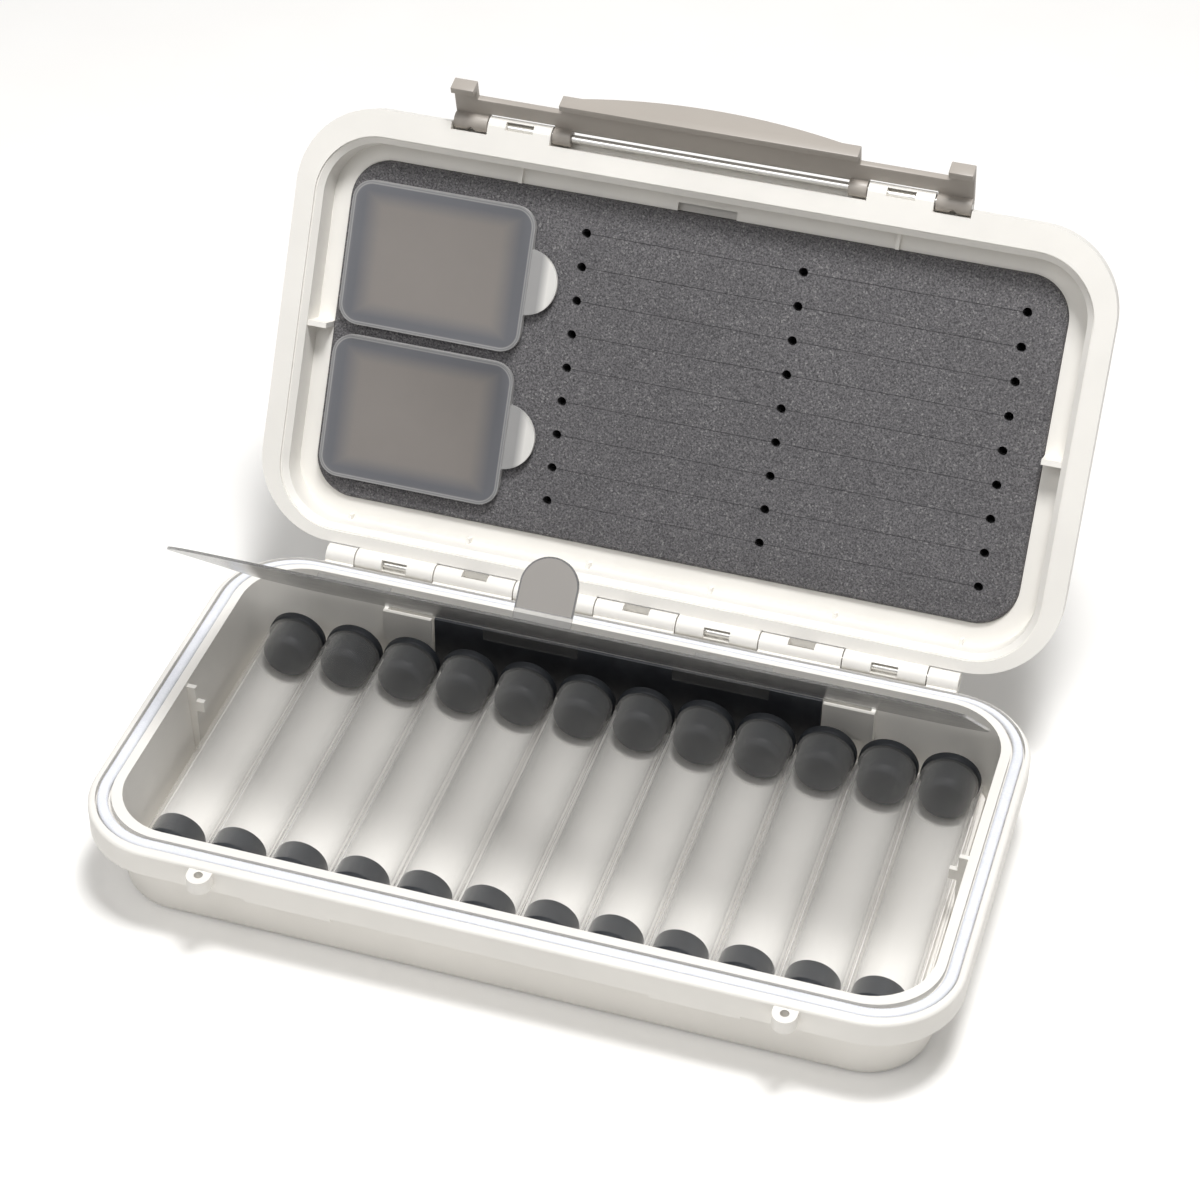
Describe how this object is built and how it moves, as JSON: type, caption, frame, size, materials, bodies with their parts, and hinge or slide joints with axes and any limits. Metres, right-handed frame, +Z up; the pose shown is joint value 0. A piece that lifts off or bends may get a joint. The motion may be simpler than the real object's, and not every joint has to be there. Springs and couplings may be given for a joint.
{
  "type": "fly box",
  "caption": "Waterproof hinged case with a row of stoppered clear vials, a clear inner cover, slotted foam and two lidded trays in the lid, and a bar latch.",
  "frame": {"origin": "middle of the tub's flat bottom face", "axes": "+X along the hinge, +Y towards the hinge at the rear, +Z up; stored with the lid open"},
  "size_m": [0.199, 0.1798, 0.1317],
  "materials": {
    "case_plastic": "moulded off-white plastic, satin",
    "seal_rubber": "silver-grey soft seal",
    "pin_steel": "drawn steel rod",
    "rack_plastic": "moulded light grey plastic",
    "strip_plastic": "black sheet",
    "cover_clear": "clear thin plastic sheet",
    "vial_clear": "clear plastic tube",
    "stopper_rubber": "dark moulded stopper",
    "foam": "closed-cell grey foam",
    "tray_frosted": "frosted translucent plastic"
  },
  "bodies": {
    "tub": {"tub_shell": "case_plastic", "seal_gasket": "seal_rubber", "hinge_pin": "pin_steel", "vial_rack": "rack_plastic", "cover_strip": "strip_plastic", "cover_hinge_leaves": "cover_clear"},
    "lid": {"lid_shell": "case_plastic", "lid_foam": "foam", "latch_pin": "pin_steel", "compartment_tray_1": "tray_frosted", "compartment_tray_2": "tray_frosted"},
    "latch": {"latch_bar": "case_plastic"},
    "cover": {"inner_cover": "cover_clear"},
    "compartment_lid_upper": {"compartment_lid_1": "tray_frosted"},
    "compartment_lid_lower": {"compartment_lid_2": "tray_frosted"},
    "vial_01": {"vial_tube_01": "vial_clear", "vial_stopper_01": "stopper_rubber", "vial_end_cap_01": "stopper_rubber"},
    "vial_02": {"vial_tube_02": "vial_clear", "vial_stopper_02": "stopper_rubber", "vial_end_cap_02": "stopper_rubber"},
    "vial_03": {"vial_tube_03": "vial_clear", "vial_stopper_03": "stopper_rubber", "vial_end_cap_03": "stopper_rubber"},
    "vial_04": {"vial_tube_04": "vial_clear", "vial_stopper_04": "stopper_rubber", "vial_end_cap_04": "stopper_rubber"},
    "vial_05": {"vial_tube_05": "vial_clear", "vial_stopper_05": "stopper_rubber", "vial_end_cap_05": "stopper_rubber"},
    "vial_06": {"vial_tube_06": "vial_clear", "vial_stopper_06": "stopper_rubber", "vial_end_cap_06": "stopper_rubber"},
    "vial_07": {"vial_tube_07": "vial_clear", "vial_stopper_07": "stopper_rubber", "vial_end_cap_07": "stopper_rubber"},
    "vial_08": {"vial_tube_08": "vial_clear", "vial_stopper_08": "stopper_rubber", "vial_end_cap_08": "stopper_rubber"},
    "vial_09": {"vial_tube_09": "vial_clear", "vial_stopper_09": "stopper_rubber", "vial_end_cap_09": "stopper_rubber"},
    "vial_10": {"vial_tube_10": "vial_clear", "vial_stopper_10": "stopper_rubber", "vial_end_cap_10": "stopper_rubber"},
    "vial_11": {"vial_tube_11": "vial_clear", "vial_stopper_11": "stopper_rubber", "vial_end_cap_11": "stopper_rubber"},
    "vial_12": {"vial_tube_12": "vial_clear", "vial_stopper_12": "stopper_rubber", "vial_end_cap_12": "stopper_rubber"}
  },
  "joints": [
    {"name": "lid_hinge", "type": "hinge", "parent": "tub", "child": "lid", "pos_m": [0, 0.0545, 0.0245], "axis": [-1, 0, 0], "range_deg": [-117.9, 0]},
    {"name": "latch_pivot", "type": "hinge", "parent": "lid", "child": "latch", "pos_m": [0, 0.10771, 0.11966], "axis": [-1, 0, 0], "range_deg": [-49, 40]},
    {"name": "cover_hinge", "type": "hinge", "parent": "tub", "child": "cover", "pos_m": [0, 0.045, 0.0196], "axis": [-1, 0, 0], "range_deg": [-44, 0]},
    {"name": "compartment_hinge_upper", "type": "hinge", "parent": "lid", "child": "compartment_lid_upper", "pos_m": [-0.0861, 0.09459, 0.08633], "axis": [0, -0.4679, -0.8838], "range_deg": [0, 100]},
    {"name": "compartment_hinge_lower", "type": "hinge", "parent": "lid", "child": "compartment_lid_lower", "pos_m": [-0.0861, 0.0769, 0.05292], "axis": [0, -0.4679, -0.8838], "range_deg": [0, 100]},
    {"name": "vial_lift_01", "type": "hinge", "parent": "tub", "child": "vial_01", "pos_m": [-0.08113, 0.0396, 0.00235], "axis": [-1, 0, 0], "range_deg": [0, 18]},
    {"name": "vial_lift_02", "type": "hinge", "parent": "tub", "child": "vial_02", "pos_m": [-0.06638, 0.0396, 0.00235], "axis": [-1, 0, 0], "range_deg": [0, 18]},
    {"name": "vial_lift_03", "type": "hinge", "parent": "tub", "child": "vial_03", "pos_m": [-0.05162, 0.0396, 0.00235], "axis": [-1, 0, 0], "range_deg": [0, 18]},
    {"name": "vial_lift_04", "type": "hinge", "parent": "tub", "child": "vial_04", "pos_m": [-0.03687, 0.0396, 0.00235], "axis": [-1, 0, 0], "range_deg": [0, 18]},
    {"name": "vial_lift_05", "type": "hinge", "parent": "tub", "child": "vial_05", "pos_m": [-0.02212, 0.0396, 0.00235], "axis": [-1, 0, 0], "range_deg": [0, 18]},
    {"name": "vial_lift_06", "type": "hinge", "parent": "tub", "child": "vial_06", "pos_m": [-0.00737, 0.0396, 0.00235], "axis": [-1, 0, 0], "range_deg": [0, 18]},
    {"name": "vial_lift_07", "type": "hinge", "parent": "tub", "child": "vial_07", "pos_m": [0.00737, 0.0396, 0.00235], "axis": [-1, 0, 0], "range_deg": [0, 18]},
    {"name": "vial_lift_08", "type": "hinge", "parent": "tub", "child": "vial_08", "pos_m": [0.02212, 0.0396, 0.00235], "axis": [-1, 0, 0], "range_deg": [0, 18]},
    {"name": "vial_lift_09", "type": "hinge", "parent": "tub", "child": "vial_09", "pos_m": [0.03687, 0.0396, 0.00235], "axis": [-1, 0, 0], "range_deg": [0, 18]},
    {"name": "vial_lift_10", "type": "hinge", "parent": "tub", "child": "vial_10", "pos_m": [0.05162, 0.0396, 0.00235], "axis": [-1, 0, 0], "range_deg": [0, 18]},
    {"name": "vial_lift_11", "type": "hinge", "parent": "tub", "child": "vial_11", "pos_m": [0.06638, 0.0396, 0.00235], "axis": [-1, 0, 0], "range_deg": [0, 18]},
    {"name": "vial_lift_12", "type": "hinge", "parent": "tub", "child": "vial_12", "pos_m": [0.08113, 0.0396, 0.00235], "axis": [-1, 0, 0], "range_deg": [0, 18]}
  ],
  "couplings": [
    {"joint": "cover_hinge", "follows": "lid_hinge", "ratio": 0.3731}
  ]
}
